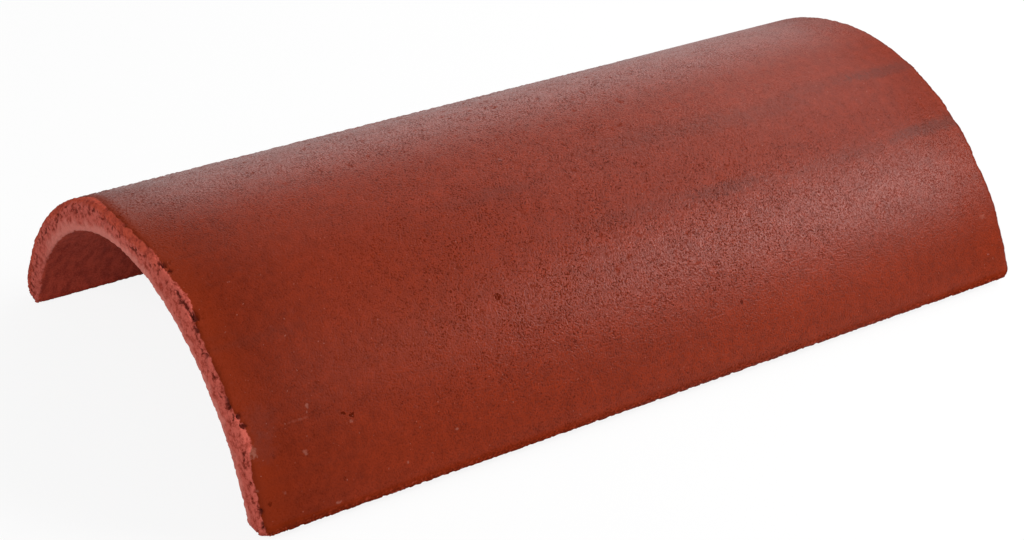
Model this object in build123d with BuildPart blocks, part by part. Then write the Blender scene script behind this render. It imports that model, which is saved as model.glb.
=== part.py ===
from build123d import *
import os
from math import cos, radians, sin, sqrt

# Half-round clay ridge tile: one fired piece, an arched wall of even thickness.
# The tile lies along Y with its crown up. Its two long edges, the feet, are cut square to the wall
# and rounded, so that each foot slopes a little and the tile stands on the inner corner of each.
# The origin is under the middle of the tile, on the surface that it stands on.

# Driving dimensions, in millimetres and degrees
tile_length = 450.0  # end to end
tile_width = 260.0  # across the outer corners of the feet, before they are rounded
wall = 16.0  # thickness, square to the curve
half_angle = 73.0  # of the arch, from the crown to each foot
outer_foot_radius = 7.0  # long outer corner of each foot
inner_foot_radius = 4.5  # long inner corner of each foot, which the tile stands on
rim_radius = 3.5  # worn edge round each end

# The outer face and the bore share one centre
outer_radius = tile_width / 2 / sin(radians(half_angle))
bore_radius = outer_radius - wall

# That centre lies under the floor, at the height where the inner foot corners just touch the floor.
# The middle of such a corner's rounding is one corner radius inside the bore and the foot face.
corner_reach = sqrt((bore_radius + inner_foot_radius) ** 2 - inner_foot_radius**2)
corner_rise = corner_reach * cos(radians(half_angle)) + inner_foot_radius * sin(radians(half_angle))
centre_height = inner_foot_radius - corner_rise

# The plane of the section lies across the tile, with its own X axis up through the crown
across_tile = Plane(origin=(0, 0, 0), x_dir=(0, 0, 1), z_dir=(0, -1, 0))

with BuildPart() as ridge_tile:
    with BuildSketch(across_tile) as wall_section:
        with BuildLine():
            outer_face = CenterArc((centre_height, 0), outer_radius, -half_angle, 2 * half_angle)
            bore = CenterArc((centre_height, 0), bore_radius, -half_angle, 2 * half_angle)
            Line(outer_face @ 0, bore @ 0)
            Line(outer_face @ 1, bore @ 1)
        make_face()
        # The outer corners of the feet lie higher than the inner ones
        fillet(wall_section.vertices().group_by(Axis.X)[-1], outer_foot_radius)
        fillet(wall_section.vertices().group_by(Axis.X)[0], inner_foot_radius)
    extrude(amount=tile_length / 2, both=True)
    end_faces = ridge_tile.faces().filter_by(Axis.Y)
    fillet(end_faces.edges(), rim_radius)

ridge_tile.part.label = "ridge_tile"

os.makedirs("parts", exist_ok=True)
export_step(ridge_tile.part, "parts/ridge_tile.step")
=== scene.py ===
import math

import bmesh
import bpy
from mathutils import Matrix, Vector, noise


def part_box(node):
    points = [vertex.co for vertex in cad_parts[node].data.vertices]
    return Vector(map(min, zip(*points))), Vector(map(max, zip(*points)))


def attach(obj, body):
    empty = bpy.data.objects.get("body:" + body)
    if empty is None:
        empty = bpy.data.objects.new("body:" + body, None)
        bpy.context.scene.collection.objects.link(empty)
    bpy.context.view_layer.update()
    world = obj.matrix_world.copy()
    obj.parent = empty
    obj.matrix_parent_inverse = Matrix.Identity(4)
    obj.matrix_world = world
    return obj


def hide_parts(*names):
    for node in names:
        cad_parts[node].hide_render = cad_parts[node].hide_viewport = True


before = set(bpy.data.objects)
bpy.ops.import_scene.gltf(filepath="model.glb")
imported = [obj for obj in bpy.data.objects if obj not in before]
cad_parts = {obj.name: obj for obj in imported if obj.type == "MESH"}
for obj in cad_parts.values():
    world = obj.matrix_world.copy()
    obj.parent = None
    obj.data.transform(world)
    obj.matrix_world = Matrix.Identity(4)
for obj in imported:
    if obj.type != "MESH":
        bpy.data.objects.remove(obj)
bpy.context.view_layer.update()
mm = 0.001
degree = math.pi / 180
middle = 0.5  # mean of a shader noise


# Shader wiring: a Wire is a socket that takes part in sums, and a Finish is a material being wired up

class Wire:
    def __init__(self, finish, socket):
        self.finish = finish
        self.socket = socket

    def out(self, name):
        return Wire(self.finish, self.socket.node.outputs[name])

    def sum(self, operation, first, second=0.0):
        return self.finish.node("Math", {"operation": operation}, {0: first, 1: second})

    def __add__(self, other):
        return self.sum("ADD", self, other)

    def __sub__(self, other):
        return self.sum("SUBTRACT", self, other)

    def __rsub__(self, other):
        return self.sum("SUBTRACT", other, self)

    def __mul__(self, other):
        return self.sum("MULTIPLY", self, other)

    def __truediv__(self, other):
        return self.sum("DIVIDE", self, other)

    def __pow__(self, other):
        return self.sum("POWER", self, other)

    def __abs__(self):
        return self.sum("ABSOLUTE", self)

    __radd__ = __add__
    __rmul__ = __mul__

    def least(self, other):
        return self.sum("MINIMUM", self, other)

    def most(self, other):
        return self.sum("MAXIMUM", self, other)

    def angleFrom(self, other):
        return self.sum("ARCTAN2", self, other)

    def rise(self, low, high):
        # 0 below low, 1 above high, smooth between; low may be the larger
        return self.finish.node("MapRange", {"interpolation_type": "SMOOTHSTEP"}, {0: self, 1: low, 2: high})


class Finish:
    def __init__(self, name):
        self.material = bpy.data.materials.new(name)
        self.material.use_nodes = True
        self.tree = self.material.node_tree
        self.tree.nodes.clear()

    def node(self, kind, settings, inputs, output=0):
        made = self.tree.nodes.new("ShaderNode" + kind)
        for name, setting in settings.items():
            setattr(made, name, setting)
        for name, value in inputs.items():
            if isinstance(value, Wire):
                self.tree.links.new(value.socket, made.inputs[name])
            else:
                made.inputs[name].default_value = value
        return Wire(self, made.outputs[output]) if made.outputs else None

    def mix(self, share, first, second):
        # first where share is 0, second where it is 1; the node's sockets 6, 7 and 2 are those for colours
        return self.node("Mix", {"data_type": "RGBA"}, {0: share, 6: first, 7: second}, output=2)

    def noise(self, place, size, detail, roughness):
        # size is that of one blotch, in metres
        inputs = {"Vector": place, "Scale": 1 / size, "Detail": detail, "Roughness": roughness}
        return self.node("TexNoise", {}, inputs)

    def stretch(self, place, scale):
        return self.node("VectorMath", {"operation": "MULTIPLY"}, {0: place, 1: scale})


# Ridge tile: an arched wall, worn round its ends and feet

tile = {
    "width": 260 * mm,  # across the feet, before they are rounded
    "wall": 16 * mm,
    "halfArch": 73 * degree,  # crown to foot
    "outerFoot": 7.4 * mm,  # rounding of the long edges
    "innerFoot": 4.5 * mm,
    "outerRim": 3.6 * mm,  # rounding of each end's edges
    "boreRim": 2 * mm,
    "footRim": 2.2 * mm,
    "chipped": 3,  # times as much rounding at the near end of the right foot
    "rimWear": 0.4,  # how far the rims' rounding comes and goes, as a share of it
    "leastRim": 0.6,  # what is left of it at least
    "rimNoise": (7, 3.3, 900),  # steps through the noise: round an end, from end to end, from edge to edge
    "footNoise": 40,  # the same across a foot
    "rimFractal": (0.9, 2.1, 4),  # evenness, step in scale, layers
    "wearReach": 12 * mm,  # wear goes no further than this from an end or a foot
    "arcSteps": 440,
    "wallSteps": 28,
    "lengthSteps": 450,
    "endCrowding": 0.5,  # how much shorter the steps are at the ends
    "triangles": 192000,
}
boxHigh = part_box("ridge_tile")[1]
halfLength = boxHigh.y
outerRadius = tile["width"] / 2 / math.sin(tile["halfArch"])
boreRadius = outerRadius - tile["wall"]
archCentre = Vector((0, 0, boxHigh.z - outerRadius))


def roundCorner(a, b, radius):
    # a and b are a point's depths behind two faces: the square corner between them becomes a round one
    da = radius - a
    db = radius - b
    if da <= 0 or db <= 0:
        return a, b
    reach = max(da, db) / math.hypot(da, db)
    return radius - da * reach, radius - db * reach


def wornRim(edge, along, end):
    # the rounding of one of an end's edges at one place
    alongStep, endStep, edgeStep = tile["rimNoise"]
    place = Vector((along * alongStep, end * endStep, tile[edge] * edgeStep))
    wear = noise.fractal(place, *tile["rimFractal"])
    return tile[edge] * max(tile["leastRim"], 1 + tile["rimWear"] * wear)


def squareTile():
    # the wall's line at one foot, spun into the near end, copied to the far end, and the two bridged
    bm = bmesh.new()
    footward = Vector((-math.sin(tile["halfArch"]), 0, math.cos(tile["halfArch"])))
    start = archCentre - Vector((0, halfLength, 0))
    corners = [bm.verts.new(start + footward * radius) for radius in (boreRadius, outerRadius)]
    wallLine = bm.edges.new(corners)
    bmesh.ops.subdivide_edges(bm, edges=[wallLine], cuts=tile["wallSteps"] - 1)
    bmesh.ops.spin(bm, geom=bm.verts[:] + bm.edges[:], cent=start, axis=(0, 1, 0),
                   angle=2 * tile["halfArch"], steps=tile["arcSteps"])
    outlines = [edge for edge in bm.edges if edge.is_boundary]
    farEnd = bmesh.ops.duplicate(bm, geom=bm.verts[:] + bm.edges[:] + bm.faces[:])["geom"]
    farVerts = [item for item in farEnd if isinstance(item, bmesh.types.BMVert)]
    bmesh.ops.translate(bm, verts=farVerts, vec=(0, 2 * halfLength, 0))
    outlines += [item for item in farEnd if isinstance(item, bmesh.types.BMEdge) and item.is_boundary]
    walls = bmesh.ops.bridge_loops(bm, edges=outlines)
    bmesh.ops.subdivide_edges(bm, edges=walls["edges"], cuts=tile["lengthSteps"] - 1, use_grid_fill=True)
    for vert in bm.verts:
        # shorter steps towards the ends
        along = vert.co.y / halfLength
        vert.co.y += halfLength * tile["endCrowding"] * math.sin(math.pi * along) / math.pi
    bmesh.ops.recalc_face_normals(bm, faces=bm.faces[:])
    return bm


def wearEdges(bm):
    half = tile["halfArch"]
    for vert in bm.verts:
        offset = vert.co - archCentre
        angle = math.atan2(offset.x, offset.z)
        radius = math.hypot(offset.x, offset.z)
        endDepth = halfLength - abs(offset.y)
        footDepth = (half - abs(angle)) * radius
        if min(endDepth, footDepth) > tile["wearReach"]:
            continue
        side = 1 if angle > 0 else -1
        end = 1 if offset.y > 0 else -1
        outerDepth, endDepth = roundCorner(outerRadius - radius, endDepth, wornRim("outerRim", angle, end))
        radius = outerRadius - outerDepth
        boreDepth, endDepth = roundCorner(radius - boreRadius, endDepth, wornRim("boreRim", angle, end))
        radius = boreRadius + boreDepth
        chipped = tile["chipped"] if end < 0 < side else 1
        footRim = chipped * wornRim("footRim", radius * tile["footNoise"], end + side)
        footDepth, endDepth = roundCorner(footDepth, endDepth, footRim)
        footDepth, outerDepth = roundCorner(footDepth, outerRadius - radius, tile["outerFoot"])
        radius = outerRadius - outerDepth
        footDepth, boreDepth = roundCorner(footDepth, radius - boreRadius, tile["innerFoot"])
        radius = boreRadius + boreDepth
        angle = side * (half - footDepth / radius)
        y = end * (halfLength - endDepth)
        vert.co = archCentre + Vector((math.sin(angle) * radius, y, math.cos(angle) * radius))
    bm.normal_update()


# Relief: a pair of values is where something starts and where it is full

relief = {
    "inset": 0.15 * mm,  # mean surface, so that no grain stands out of the tile's box
    "least": 0.08 * mm,  # every point lies at least this far in
    "wave": 0.1 * mm,  # slow unevenness of the walls
    "waveSize": 60 * mm,
    "grain": 0.04 * mm,  # sandy grain of the walls
    "rimGrain": 0.3 * mm,  # coarser towards the ends and the feet
    "rimBand": (5 * mm, 1 * mm),
    "footBand": (5 * mm, 2.5 * mm),
    "grainSize": 2.2 * mm,
    "grainFractal": (0.9, 2, 2),
    "crownSand": 0.28 * mm,  # sparse sand grains along the crown's left side
    "sandSize": 1.9 * mm,
    "sandShift": Vector((2, 9, 5)),
    "sandGrains": (0.25, 0.5),
    "sandAngle": -30 * degree,
    "sandWidth": (12 * degree, 5 * degree),
    "sandLength": (160 * mm, 60 * mm),
    "crumb": 0.45 * mm,  # bare clay of the ends and feet
    "crumbMean": 0.3,
    "crumbSize": 2.6 * mm,
    "crumbFractal": (0.6, 2.2, 3),
    "footCrumb": 2,  # how much more of it at the feet
    "crumbBand": (8 * mm, 3 * mm),
    "bareEdge": (-1 * mm, 1 * mm),
    "boreBare": 1 * mm,  # how far bare clay goes past the end, into the bore
    "footBare": 1 * mm,  # and past the foot
    "footCoat": 3 * mm,  # how far the coat goes round a foot
    "rimBare": 0.5 * mm,  # how far bare clay reaches out over the near rim
    "rimCoat": 1.5 * mm,  # how far the coat reaches in over the far rim
    "pit": 0.15 * mm,  # small pits in the coat, more of them mid-length and few at the far end
    "pitSize": 3 * mm,
    "pitGrains": (0.5, 0.8),
    "pitDense": 0.12,
    "pitNear": (-200 * mm, -60 * mm),
    "pitFar": (40 * mm, 130 * mm),
    "pitFewer": 2,
    "pitSkin": 2 * mm,
    # how much painted shade the shallow pits take
    "pitShade": 0.25,
    "crownToFlank": (4 * degree, 22 * degree),  # crumbly look of the crown's end, and the smoother flank's
    "voidRow": 3.5 * mm,  # row of small voids: its place, from the coat's edge
    "crownRow": 5 * mm,  # deeper in at the crown
    "rowWidth": (3 * mm, 1 * mm),
    "smallVoid": 1.1 * mm,
    "smallSize": 2.2 * mm,
    "smallShift": Vector((7, 3, 1)),
    "smallGrains": (0.2, 0.25),  # start and further rise
    "flankFewer": 0.1,
    "voidShare": 0.75,  # larger voids: depth, of the width
    "voidRagged": 0.9,
    "raggedSize": 1.8 * mm,
    "raggedFractal": (0.7, 2, 3),
    "voidFromEnd": 9 * mm,
    "voidFromOutside": 13 * mm,
    # degrees from the crown, millimetres inwards from the rim of the end (outwards if negative), width
    "nearVoids": [(-50, 7, 3), (-37, 6, 3), (-25, 6, 4), (-22, 7, 3), (-9, 5, 5), (-4, 4, 2), (9, 5, 3),
                  (14, -1, 3), (15, -3, 4), (17, -4, 3), (22, -1, 3), (24, 0, 4), (26, -1, 3), (28, -2, 6),
                  (31, 0, 3), (36, 2, 4), (46, 1, 5), (49, -3, 3), (51, -4, 3), (56, 3, 3), (67, 0, 4),
                  (70, 1, 4)],
    "farVoids": [(18, 0, 3), (31, 1, 4), (43, 0, 3), (-20, 3, 3), (-55, 2, 4)],
    # where the coat has come off the near rim: degrees from the crown, half width in degrees, millimetres
    "bareSpots": [(-50, 16, 3), (-22, 22, 5), (12, 12, 2), (24, 9, 4), (49, 4, 2), (54, 6, 4)],
}


def rise(value, low, high):
    # 0 below low, 1 above high, smooth between, for a number or a wire
    if isinstance(value, Wire):
        return value.rise(low, high)
    share = min(max((value - low) / (high - low), 0.0), 1.0)
    return share * share * (3 - 2 * share)


def coatEdge(angle, y):
    # how far bare clay reaches out over an end's rim: at the far end the coat reaches inwards instead
    reach = relief["rimBare"]
    for place, halfWidth, further in relief["bareSpots"]:
        reach = rise(abs(angle - place * degree), halfWidth * degree, 0) * (further * mm) + reach
    return (reach + relief["rimCoat"]) * rise(y, 0, -1 * mm) - relief["rimCoat"]


def overCrown(angle):
    # 1 at the crown and to its left, 0 down the right flank
    crown, flank = relief["crownToFlank"]
    return rise(angle, flank, crown)


def voidRow(angle):
    # how far from the coat's edge the row of voids runs
    return relief["voidRow"] + overCrown(angle) * relief["crownRow"]


def hole(places, angle, along, ragged):
    # the deepest hole at a point, in metres, and how far inside the hole the point is
    deepest = 0.0
    inside = 0.0
    for holeAngle, holeAlong, width in places:
        across = (angle - holeAngle * degree) * outerRadius
        reach = width / 2 * mm
        off = math.hypot(across, along - holeAlong * mm) / reach + ragged
        if off < 1:
            share = 1 - max(off, 0) ** 2
            deepest = max(deepest, share * width * mm * relief["voidShare"])
            inside = max(inside, share)
    return deepest, inside


def sandDepth(co, angle, y):
    # the coat between the sand grains, which stay proud
    strip = rise(abs(angle - relief["sandAngle"]), *relief["sandWidth"]) * rise(y, *relief["sandLength"])
    sand = rise(noise.noise(co / relief["sandSize"] + relief["sandShift"]), *relief["sandGrains"])
    return relief["crownSand"] * strip * (1 - sand)


def voidDepth(co, angle, y, fromRim, fromCoat):
    # larger voids at their own places, and a row of small ones
    ragged = relief["voidRagged"] * noise.fractal(co / relief["raggedSize"], *relief["raggedFractal"])
    voids = relief["nearVoids"] if y < 0 else relief["farVoids"]
    deepest, inside = hole(voids, angle, fromRim, ragged)
    row = rise(abs(fromCoat - voidRow(angle)), *relief["rowWidth"])
    start, further = relief["smallGrains"]
    few = start + relief["flankFewer"] * rise(angle, *relief["crownToFlank"])
    small = row * rise(noise.noise(co / relief["smallSize"] + relief["smallShift"]), few, few + further)
    return max(deepest, small * relief["smallVoid"]), max(inside, small)


def pitShare(co, y):
    # how far a point lies in one of the coat's small pits
    dense = rise(y, *relief["pitNear"]) - relief["pitFewer"] * rise(y, *relief["pitFar"])
    start, full = relief["pitGrains"]
    lower = relief["pitDense"] * dense
    return rise(noise.noise(co / relief["pitSize"]), start - lower, full - lower)


def roughenSurface(bm):
    # how deep a point lies in a void or pit, which the finish darkens as painted shade
    cavity = bm.verts.layers.float.new("cavity")
    depths = []
    for vert in bm.verts:
        co = vert.co
        offset = co - archCentre
        y = offset.y
        radius = math.hypot(offset.x, offset.z)
        angle = math.atan2(offset.x, offset.z)
        outerDepth = outerRadius - radius
        boreDepth = tile["wall"] - outerDepth
        endDepth = halfLength - abs(y)
        footDepth = (tile["halfArch"] - abs(angle)) * radius
        fromRim = outerDepth - endDepth
        fromCoat = fromRim + coatEdge(angle, y)
        bareEnd = min(fromCoat, boreDepth - endDepth + relief["boreBare"])
        bareFoot = min(outerDepth - relief["footCoat"], boreDepth) - footDepth + relief["footBare"]
        bare = rise(max(bareEnd, bareFoot), *relief["bareEdge"])
        depth = relief["inset"] + relief["wave"] * noise.noise(co / relief["waveSize"])
        if outerDepth < boreDepth:
            depth += sandDepth(co, angle, y)
        edge = max(rise(endDepth, *relief["rimBand"]), rise(footDepth, *relief["footBand"]))
        grain = relief["grain"] + relief["rimGrain"] * edge
        depth += grain * noise.fractal(co / relief["grainSize"], *relief["grainFractal"])
        if bare > 0:
            crumb = noise.fractal(co / relief["crumbSize"], *relief["crumbFractal"])
            coarser = 1 + relief["footCrumb"] * rise(footDepth, *relief["crumbBand"])
            depth += bare * relief["crumb"] * (relief["crumbMean"] + crumb) * coarser
        inside = 0.0
        if endDepth < relief["voidFromEnd"] and outerDepth < relief["voidFromOutside"]:
            deeper, inside = voidDepth(co, angle, y, fromRim, fromCoat)
            depth += deeper
        elif outerDepth < relief["pitSkin"]:
            pit = pitShare(co, y)
            depth += pit * relief["pit"]
            inside = pit * relief["pitShade"]
        depths.append(max(depth, relief["least"]))
        vert[cavity] = inside
    for vert, depth in zip(bm.verts, depths):
        vert.co -= vert.normal * depth


def makeTile():
    bm = squareTile()
    print("square tile:", len(bm.verts), "points")
    wearEdges(bm)
    roughenSurface(bm)
    print("worn and roughened")
    mesh = bpy.data.meshes.new("ridgeTileFine")
    bm.to_mesh(mesh)
    bm.free()
    piece = bpy.data.objects.new("ridgeTile", mesh)
    bpy.context.scene.collection.objects.link(piece)
    thin = piece.modifiers.new("thin", "DECIMATE")
    thin.ratio = tile["triangles"] / sum(len(face.vertices) - 2 for face in mesh.polygons)
    graph = bpy.context.evaluated_depsgraph_get()
    piece.data = bpy.data.meshes.new_from_object(piece.evaluated_get(graph))
    piece.modifiers.clear()
    piece.data.name = "ridgeTile"
    piece.data.shade_smooth()
    bpy.data.meshes.remove(mesh)
    print("thinned to", len(piece.data.polygons), "triangles")
    return piece


# Fired clay: a coat with a soft sheen, bare clay at the ends and feet, and a plain bore

clay = {
    "coat": (0.28, 0.030, 0.0085, 1),
    "coatDark": (0.072, 0.007, 0.0018, 1),
    "coatOrange": (0.205, 0.022, 0.0050, 1),
    "streak": (0.105, 0.021, 0.013, 1),
    # painted shade: in the small pits, and along the feet's lower edge
    "pit": (0.10, 0.011, 0.006, 1),
    "raw": (0.545, 0.110, 0.081, 1),
    "rawDark": (0.30, 0.040, 0.025, 1),
    "rawPale": (0.64, 0.200, 0.160, 1),
    "rawOrange": (0.51, 0.076, 0.041, 1),
    "bore": (0.48, 0.068, 0.039, 1),
    "boreDark": (0.28, 0.036, 0.022, 1),
    # painted shade of holes: the voids, the pits and the row of voids
    "void": (0.10, 0.012, 0.007, 1),
    "pale": (0.45, 0.20, 0.15, 1),
    "grey": (0.15, 0.028, 0.018, 1),
    # painted shade down in the specks and spots
    "spot": (0.03, 0.003, 0.002, 1),
    "roughness": 0.36,  # of the coat
    "mattRoughness": 0.5,  # how much rougher the bare clay is
    "specular": 0.145,
    "bump": 0.2 * mm,
    # marks on the coat: degrees from the crown, millimetres along the tile, half width, half length, strength
    "streaks": [(34, 207, 5, 34, 0.75), (35, 140, 4, 45, 0.3), (34, 66, 4.5, 30, 0.5), (33, 15, 4, 45, 0.2),
                (16, 204, 5, 34, 0.55), (15, 160, 5, 40, 0.25), (18, 105, 8, 50, 0.3), (16, 45, 8, 55, 0.25),
                (20, -60, 5, 36, 0.3), (36, -195, 4, 30, 0.2), (-24, 90, 4, 40, 0.3),
                (-41, -120, 4, 35, 0.3)],
    "specks": [(51, -190, 1.2, 1, 0.3), (52, -191, 0.7, 0.7, 0.4), (53, -196, 0.7, 5, 0.12),
               (59, -197, 1.4, 1.2, 0.3), (70, -187, 0.8, 1.5, 0.35), (67, -150, 0.7, 0.7, 0.4),
               (64, -122, 0.7, 1, 0.35), (63, -223, 0.8, 0.8, 0.3), (65, -211, 0.8, 0.8, 0.25),
               (56.2, -172, 1.1, 1.1, 0.25), (57, 213, 1.4, 2, 0.2), (56, -221, 3.5, 2.5, 0.4)],
    "spots": [(42, -81, 2.2, 1.6, 1), (53.3, -92, 1.5, 1.2, 0.6), (54.4, -174.5, 1.3, 1.3, 0.9),
              (55.2, -171, 1.4, 1.4, 1), (58, 48, 1.6, 1.3, 0.7), (66, -219, 1.3, 1.3, 0.5),
              (12, 60, 1.5, 1.3, 0.4), (47.5, -182, 1.6, 1.6, 0.35), (48, -128, 1.6, 1.2, 0.25),
              (60, -187, 1.2, 1.2, 0.3), (66, -182, 1.3, 1.1, 0.5), (58, -212, 1.3, 1.1, 0.4),
              (-35, 40, 2, 2, 0.9), (-50, -120, 1.6, 1.6, 0.9)],
    "greyPatches": [(51, -213, 9, 9, 0.4), (56, -215, 8, 7, 0.4), (-30, 150, 10, 14, 0.3)],
    "markEdge": (1.3, -0.2),  # where a mark starts and is full, in its own size squared
    "markRagged": 2.4,
    "spotRagged": 3.6,
    "edgeRagged": 5 * mm,  # of the bare clay
    "innerRagged": 14 * mm,  # of its pale inner edge
    "bandRagged": 8 * mm,  # of its orange band
    "footCoat": 5 * mm,  # how far the coat's colour goes round a foot
    "patchAngle": 14 * degree,  # middle of the smooth patch beside the crown
    # noises: size of a blotch, detail, roughness
    "noises": {
        "grit": (0.85 * mm, 1.0, 0.5),
        "speck": (1 * mm, 1.0, 0.5),
        "sand": (1.1 * mm, 0.0, 0.5),
        "crisp": (1.2 * mm, 2.0, 0.5),
        "crumb": (1.6 * mm, 3.0, 0.7),
        "coarse": (2.4 * mm, 3.0, 0.7),
        "lump": (3 * mm, 3.0, 0.6),
        "ragged": (3 * mm, 3.0, 0.7),
        "coatEdge": (4 * mm, 4.0, 0.6),
        "mottle": (5 * mm, 4.0, 0.6),
        "bore": (5 * mm, 4.0, 0.65),
        "drag": (6 * mm, 2.0, 0.5),
        "rawPatch": (9 * mm, 3.0, 0.5),
        "patch": (14 * mm, 3.0, 0.6),
        "broad": (22 * mm, 3.0, 0.5),
    },
    # how each noise is stretched round the arch, along the tile and through the wall
    "stretches": {"broad": (1, 0.35, 1), "drag": (1, 0.04, 1), "bore": (0.5, 1, 1)},
    # where an effect along the tile starts and is full, in millimetres from its middle, and its strength
    "along": {
        "nearHalf": (0, -1, 1),
        "farHalf": (0, 1, 1),
        # painted shade: the coat darker towards the near end
        "nearPaintedShade": (-150, -215, 0.17),
        # painted shade: the coat darker towards the far end
        "farPaintedShade": (90, 215, 0.08),
        "nearSmooth": (-60, -215, 0.55),
        "farSmooth": (60, 215, 0.37),
        "patchSmooth": (0, 120, 0.25),
        "nearDry": (-180, -220, 0.3),
        "farDry": (110, 215, 0.2),
        "farRimDry": (180, 224, 0.3),
        "flankDry": (20, -150, 0.4),
    },
    # the same round the arch, in degrees from the crown, or from its own middle for the smooth patch
    "around": {
        # painted light: lifts the coat's tone over the crown
        "crownPaintedLight": (25, 5, 0.09),
        "flankSmooth": (2, 24, 0.7),
        "patchSmooth": (18, 8, 1),
        "flankDry": (12, 24, 1),
        "lowFlank": (54, 64, 0.35),
        "innerEdge": (-62, -40, 0.8),
    },
    # the same by a depth behind a face or an edge, in millimetres
    "depth": {
        "farRim": (4, 0.5, 0.6),
        "nearOrange": (22, 4, 0.7),
        "footEdge": (6, 2.5, 1),
        "innerEdge": (9, 14, 1),
        "crownOrange": (8, 5, 1),
        "voidRow": (4, 1.5, 0.5),
        "bare": (-0.4, 0.5, 1),
        "bore": (9, 11, 1),
        "wornCoat": (-7, 0, 0.7),
        "footDry": (8, 4, 0.8),
    },
    # the same by the level of a noise or a mark
    "level": {
        "drag": (0.54, 0.75, 0.1),
        "sand": (0.81, 0.86, 0.25),
        "pits": (0.46, 0.30, 1),
        "pitPatches": (0.36, 0.66, 0.4),
        "specks": (0.73, 0.79, 1),
        "coarse": (0.67, 0.73, 0.75),
        "spots": (0.1, 0.7, 0.75),
        # painted shade with dark crumbs along the feet's lower edge
        "footShadeAndDarkCrumbs": (0.0, 0.5, 0.8),
        "footCrumbs": (-0.2, -0.6, 0.5),
        "rawGrains": (0.34, 0.58, 1),
        "rowVoids": (0.45, 0.36, 1),
        "bore": (0.36, 0.62, 1),
        "cavity": (0.05, 0.6, 0.8),
        "mattCavity": (0.0, 0.3, 1),
    },
    # how light the coat is, and how far each noise changes that
    "shades": {"mean": 0.58, "grit": 0.8, "broad": 0.25, "mottle": 0.6},
    # how much of the coat's colour the painted shade of the pits and of the specks, and the pale marks take
    "pitShare": 0.45,
    "speckShare": 0.85,
    "paleShare": 0.8,
    "leastPits": 0.25,  # pits outside their patches
    "speckPatch": 0.25,  # how far the same patches gather the specks
    "mostSpecks": 0.6,
    "crownSmooth": 0.3,  # how smooth the near end's crown is, beside its flank
    "rawGrit": 0.25,  # fine part of the bare clay's grain
    "boreGrit": 0.3,  # and of the bore's
    "farDarker": 0.4,  # how far the far end's bare clay is darkened
    "gritMatt": 1.2,  # how much the grit breaks the sheen
    "crumbHeight": 2,  # bump of the bare clay's crumbs, against that of the coat's grit
    "pitHeight": 0.5,  # and of pits and specks
}


def clayNoise(f, spot, name):
    # noise on the tile as it lies, or unrolled and stretched where it has a stretch
    place = spot["place"]
    if name in clay["stretches"]:
        place = f.stretch(spot["unrolled"], clay["stretches"][name])
    return f.noise(place, *clay["noises"][name])


def effect(wire, kind, name):
    start, full, strength = clay[kind][name]
    unit = {"along": mm, "around": degree, "depth": mm, "level": 1}[kind]
    risen = wire.rise(start * unit, full * unit)
    return risen if strength == 1 else risen * strength


def alongTile(spot, name):
    return effect(spot["y"], "along", name)


def aroundArch(spot, name):
    return effect(spot["angle"], "around", name)


def tileSurface(f):
    # where a point lies on the tile, as wires by name
    place = f.node("TexCoord", {}, {}, output="Object")
    x = f.node("SeparateXYZ", {}, {0: place})
    y = x.out("Y")
    z = x.out("Z") - archCentre.z
    radius = (x * x + z * z) ** 0.5
    angle = x.angleFrom(z)
    outerDepth = outerRadius - radius
    endDepth = halfLength - abs(y)
    spot = {
        "place": place,
        "angle": angle,
        "y": y,
        "outerDepth": outerDepth,
        "boreDepth": tile["wall"] - outerDepth,
        "endDepth": endDepth,
        "footDepth": (tile["halfArch"] - abs(angle)) * radius,
        "fromCoat": outerDepth - endDepth + coatEdge(angle, y),
        "unrolled": f.node("CombineXYZ", {}, {0: angle * outerRadius, 1: y, 2: radius}),
    }
    # sandy all over but for the near flank, the far end and a smooth patch right of the crown
    nearFlank = alongTile(spot, "nearSmooth") * (clay["crownSmooth"] + aroundArch(spot, "flankSmooth"))
    fromPatch = abs(angle - clay["patchAngle"])
    patch = alongTile(spot, "patchSmooth") * effect(fromPatch, "around", "patchSmooth")
    spot["sandy"] = 1 - nearFlank - alongTile(spot, "farSmooth") - patch
    return spot


def marks(spot, places, ragged):
    # soft ragged marks at given places on the outer face
    total = 0.0
    for angle, y, halfWidth, halfLong, strength in places:
        acrossMark = (spot["angle"] - angle * degree) * (outerRadius / (halfWidth * mm))
        alongMark = (spot["y"] - y * mm) / (halfLong * mm)
        off = acrossMark * acrossMark + alongMark * alongMark + ragged
        total = off.rise(*clay["markEdge"]) * strength + total
    return total


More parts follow.
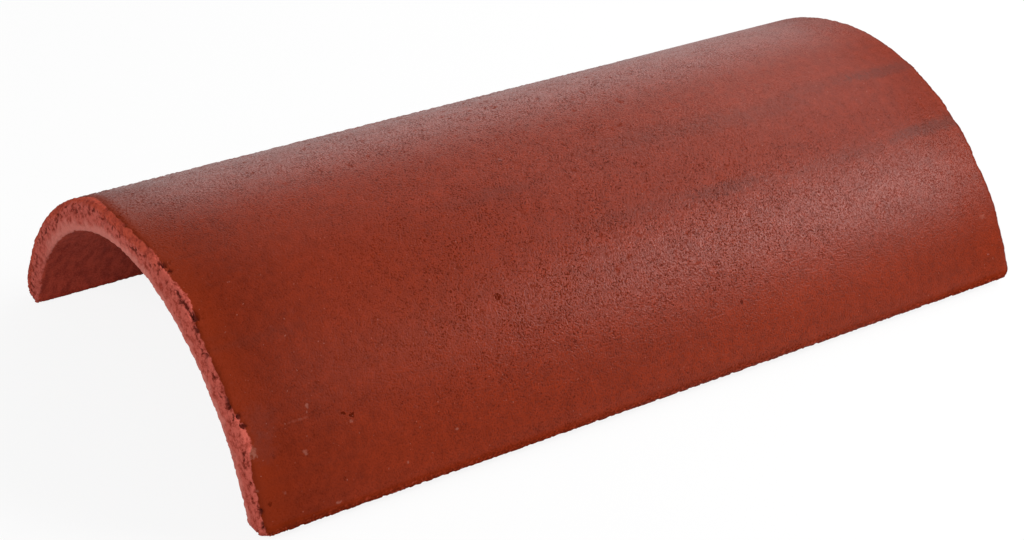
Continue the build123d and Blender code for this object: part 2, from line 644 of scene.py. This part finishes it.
def coatColour(f, spot, grit, fine, specks, crisp):
    broad = clayNoise(f, spot, "broad")
    mottle = clayNoise(f, spot, "mottle")
    shades = clay["shades"]
    shade = shades["mean"] + (grit - middle) * spot["sandy"] * shades["grit"]
    shade = shade + (broad - middle) * shades["broad"] + (mottle - middle) * shades["mottle"]
    # painted shade: the coat darker towards the near end and towards the far end
    shade = shade - alongTile(spot, "nearPaintedShade") - alongTile(spot, "farPaintedShade")
    # painted light over the crown: the coat is lighter there
    shade = shade + aroundArch(spot, "crownPaintedLight")
    colour = f.mix(shade, clay["coatDark"], clay["coat"])

    # dark along the far rim, orange towards the near end
    farRim = effect(spot["endDepth"], "depth", "farRim") * alongTile(spot, "farHalf")
    colour = f.mix(farRim, colour, clay["coatDark"])
    nearEnd = effect(spot["endDepth"], "depth", "nearOrange") * alongTile(spot, "nearHalf")
    colour = f.mix(nearEnd, colour, clay["coatOrange"])

    # streaks along the tile, and grey patches
    ragged = (clayNoise(f, spot, "ragged") - middle) * clay["markRagged"]
    drag = effect(clayNoise(f, spot, "drag"), "level", "drag")
    colour = f.mix(marks(spot, clay["streaks"], ragged) + drag, colour, clay["streak"])
    colour = f.mix(marks(spot, clay["greyPatches"], ragged), colour, clay["grey"])

    # painted shade in the pits and specks, pale sand grains
    colour = f.mix(fine * clay["pitShare"], colour, clay["pit"])
    colour = f.mix(specks * clay["speckShare"], colour, clay["spot"])
    sand = effect(clayNoise(f, spot, "sand"), "level", "sand")
    colour = f.mix(sand, colour, clay["pale"])

    # painted shade along the feet's lower edge, broken into dark crumbs, and orange crumbs
    footEdge = effect(spot["footDepth"], "depth", "footEdge")
    colour = f.mix(footEdge * effect(crisp, "level", "footShadeAndDarkCrumbs"), colour, clay["pit"])
    colour = f.mix(footEdge * effect(crisp, "level", "footCrumbs"), colour, clay["rawOrange"])
    return f.mix(marks(spot, clay["specks"], crisp) * clay["paleShare"], colour, clay["pale"])


def rawColour(f, spot, grit):
    # pink clay with a pale inner edge, an orange band over the crown, and a row of voids in painted shade
    lumps = clayNoise(f, spot, "lump")
    grains = effect(grit * clay["rawGrit"] + lumps * (1 - clay["rawGrit"]), "level", "rawGrains")
    colour = f.mix(grains, clay["rawDark"], clay["raw"])
    ragged = (clayNoise(f, spot, "rawPatch") - middle) * clay["innerRagged"]
    innerEdge = effect(spot["outerDepth"] + ragged, "depth", "innerEdge")
    colour = f.mix(innerEdge * aroundArch(spot, "innerEdge"), colour, clay["rawPale"])
    orange = f.mix(grains, clay["rawDark"], clay["rawOrange"])
    band = effect(spot["fromCoat"] + (lumps - middle) * clay["bandRagged"], "depth", "crownOrange")
    colour = f.mix(band * overCrown(spot["angle"]), colour, orange)
    colour = f.mix(alongTile(spot, "farHalf") * clay["farDarker"], colour, clay["rawDark"])
    # painted shade: a row of dark voids on the bare clay
    row = effect(abs(spot["fromCoat"] - voidRow(spot["angle"])), "depth", "voidRow")
    return f.mix(row * effect(lumps, "level", "rowVoids"), colour, clay["void"])


def boreColour(f, spot, grit):
    blotches = clayNoise(f, spot, "bore")
    grains = effect(blotches * (1 - clay["boreGrit"]) + grit * clay["boreGrit"], "level", "bore")
    return f.mix(grains, clay["boreDark"], clay["bore"])


def firedClay():
    f = Finish("firedClay")
    spot = tileSurface(f)
    sandy = spot["sandy"]
    cavity = f.node("Attribute", {"attribute_name": "cavity"}, {}, output="Fac")
    grit = clayNoise(f, spot, "grit")

    # bare clay: the ends and the feet, with a ragged edge
    ragged = (clayNoise(f, spot, "coatEdge") - middle) * clay["edgeRagged"]
    bareEnd = spot["fromCoat"].least(spot["boreDepth"] - spot["endDepth"] + relief["boreBare"])
    bareFoot = (spot["outerDepth"] - clay["footCoat"]).least(spot["boreDepth"]) - spot["footDepth"]
    bare = effect(bareEnd.most(bareFoot) + ragged, "depth", "bare")
    inBore = effect(spot["outerDepth"], "depth", "bore")

    # small pits in loose patches, larger specks, and single spots
    patches = clayNoise(f, spot, "patch")
    dense = clay["leastPits"] + effect(patches, "level", "pitPatches")
    fine = effect(grit, "level", "pits") * dense * sandy
    gathered = clayNoise(f, spot, "speck") + patches * clay["speckPatch"]
    small = effect(gathered, "level", "specks") * sandy * sandy
    small = small * (clay["mostSpecks"] - aroundArch(spot, "lowFlank"))
    coarse = effect(clayNoise(f, spot, "coarse"), "level", "coarse") * sandy
    crisp = (clayNoise(f, spot, "crisp") - middle) * clay["spotRagged"]
    single = effect(marks(spot, clay["spots"], crisp), "level", "spots")
    specks = small.most(coarse).most(single)

    outside = f.mix(inBore, coatColour(f, spot, grit, fine, specks, crisp), boreColour(f, spot, grit))
    colour = f.mix(bare, outside, rawColour(f, spot, grit))
    # painted shade down in the voids and pits
    colour = f.mix(effect(cavity, "level", "cavity"), colour, clay["void"])

    wornCoat = effect(spot["fromCoat"], "depth", "wornCoat") * alongTile(spot, "nearHalf")
    matt = bare.most(inBore).most(effect(cavity, "level", "mattCavity")).most(wornCoat)
    matt = matt + (middle - grit) * sandy * clay["gritMatt"]
    crumbs = clayNoise(f, spot, "crumb") * bare * clay["crumbHeight"]
    height = (grit - fine * clay["pitHeight"]) * sandy - specks * clay["pitHeight"] + crumbs
    bump = f.node("Bump", {}, {"Strength": 1.0, "Distance": clay["bump"], "Height": height})
    glossy = f.node("BsdfPrincipled", {}, {
        "Base Color": colour,
        "Roughness": clay["roughness"] + clay["mattRoughness"] * matt,
        "Specular IOR Level": clay["specular"],
        "Normal": bump,
    })
    # no sheen down in the pits, and less at the ends, the feet and the near flank
    dull = f.node("BsdfPrincipled", {}, {
        "Base Color": colour,
        "Roughness": 1.0,
        "Specular IOR Level": 0.0,
        "Normal": bump,
    })
    dryEnds = alongTile(spot, "nearDry") + alongTile(spot, "farDry") + alongTile(spot, "farRimDry")
    dryFlank = alongTile(spot, "flankDry") * aroundArch(spot, "flankDry")
    dryFoot = effect(spot["footDepth"], "depth", "footDry")
    dry = fine.most(specks) + dryEnds + dryFlank + dryFoot
    shader = f.node("MixShader", {}, {0: dry, 1: glossy, 2: dull})
    f.node("OutputMaterial", {}, {"Surface": shader})
    return f.material


ridgeTile = makeTile()
ridgeTile.data.materials.clear()
ridgeTile.data.materials.append(firedClay())
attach(ridgeTile, "root")
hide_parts("ridge_tile")
print("fired clay ready")


# Studio: white floor, soft light, camera

studio = {
    "floorSize": 200,
    "floorGlow": 0.88,  # share of the white that the floor gives by itself, to the camera and to gloss
    "floorColour": (0.85, 0.85, 0.85, 1),
    "white": (1, 1, 1, 1),
    "world": 0.26,
    # name: place, size and power of each softbox
    "softboxes": {
        "backRight": ((0.67, 1.0, 0.87), (0.6, 0.6), 16.5),
        "backLeft": ((-1.5, 0.95, 0.6), (1.4, 0.9), 6.6),
        "overBack": ((-0.25, 1.2, 1.35), (1.3, 0.8), 10),
        "front": ((1.2, -1.8, 1.8), (1.3, 1.1), 31),
    },
}
view = {
    "azimuth": 54.911 * degree,
    "elevation": 29.231 * degree,
    "roll": 2.108 * degree,
    "distance": 1.13614,
    "shiftRight": -7.72 * mm,
    "shiftUp": 9.86 * mm,
    "sensor": 36,
    "lens": 76.008,
}


def makeFloor():
    bm = bmesh.new()
    bmesh.ops.create_grid(bm, x_segments=1, y_segments=1, size=studio["floorSize"])
    mesh = bpy.data.meshes.new("floor")
    bm.to_mesh(mesh)
    bm.free()
    floor = bpy.data.objects.new("floor", mesh)
    bpy.context.scene.collection.objects.link(floor)
    f = Finish("paleFloor")
    path = f.node("LightPath", {}, {}, output="Is Camera Ray")
    seen = path.most(path.out("Is Glossy Ray")).most(path.out("Is Transmission Ray"))
    glow = f.node("Emission", {}, {"Color": studio["white"], "Strength": 1.0})
    matt = f.node("BsdfDiffuse", {}, {"Color": studio["floorColour"]})
    shader = f.node("MixShader", {}, {0: seen * studio["floorGlow"], 1: matt, 2: glow})
    f.node("OutputMaterial", {}, {"Surface": shader})
    mesh.materials.append(f.material)


def makeWorld():
    world = bpy.data.worlds.new("studio")
    bpy.context.scene.world = world
    world.use_nodes = True
    background = world.node_tree.nodes["Background"]
    background.inputs["Color"].default_value = studio["white"]
    background.inputs["Strength"].default_value = studio["world"]


def addSoftbox(name, place, size, power):
    lamp = bpy.data.lights.new(name, "AREA")
    lamp.shape = "RECTANGLE"
    lamp.size, lamp.size_y = size
    lamp.energy = power
    softbox = bpy.data.objects.new(name, lamp)
    bpy.context.scene.collection.objects.link(softbox)
    softbox.location = place
    softbox.rotation_euler = (-Vector(place)).to_track_quat("-Z", "Y").to_euler()


def makeCamera():
    a = view["azimuth"]
    e = view["elevation"]
    back = Vector((math.sin(a) * math.cos(e), -math.cos(a) * math.cos(e), math.sin(e)))
    right = Vector((math.cos(a), math.sin(a), 0))
    up = back.cross(right)
    place = back * view["distance"] + right * view["shiftRight"] + up * view["shiftUp"]
    across = right * math.cos(view["roll"]) + up * math.sin(view["roll"])
    upright = back.cross(across)
    lens = bpy.data.cameras.new("camera")
    lens.sensor_width = view["sensor"]
    lens.lens = view["lens"]
    camera = bpy.data.objects.new("camera", lens)
    bpy.context.scene.collection.objects.link(camera)
    camera.matrix_world = Matrix.Translation(place) @ Matrix((across, upright, back)).transposed().to_4x4()
    bpy.context.scene.camera = camera


makeFloor()
makeWorld()
for name, (place, size, power) in studio["softboxes"].items():
    addSoftbox(name, place, size, power)
makeCamera()
bpy.context.scene.view_settings.view_transform = "Standard"
print("studio ready")
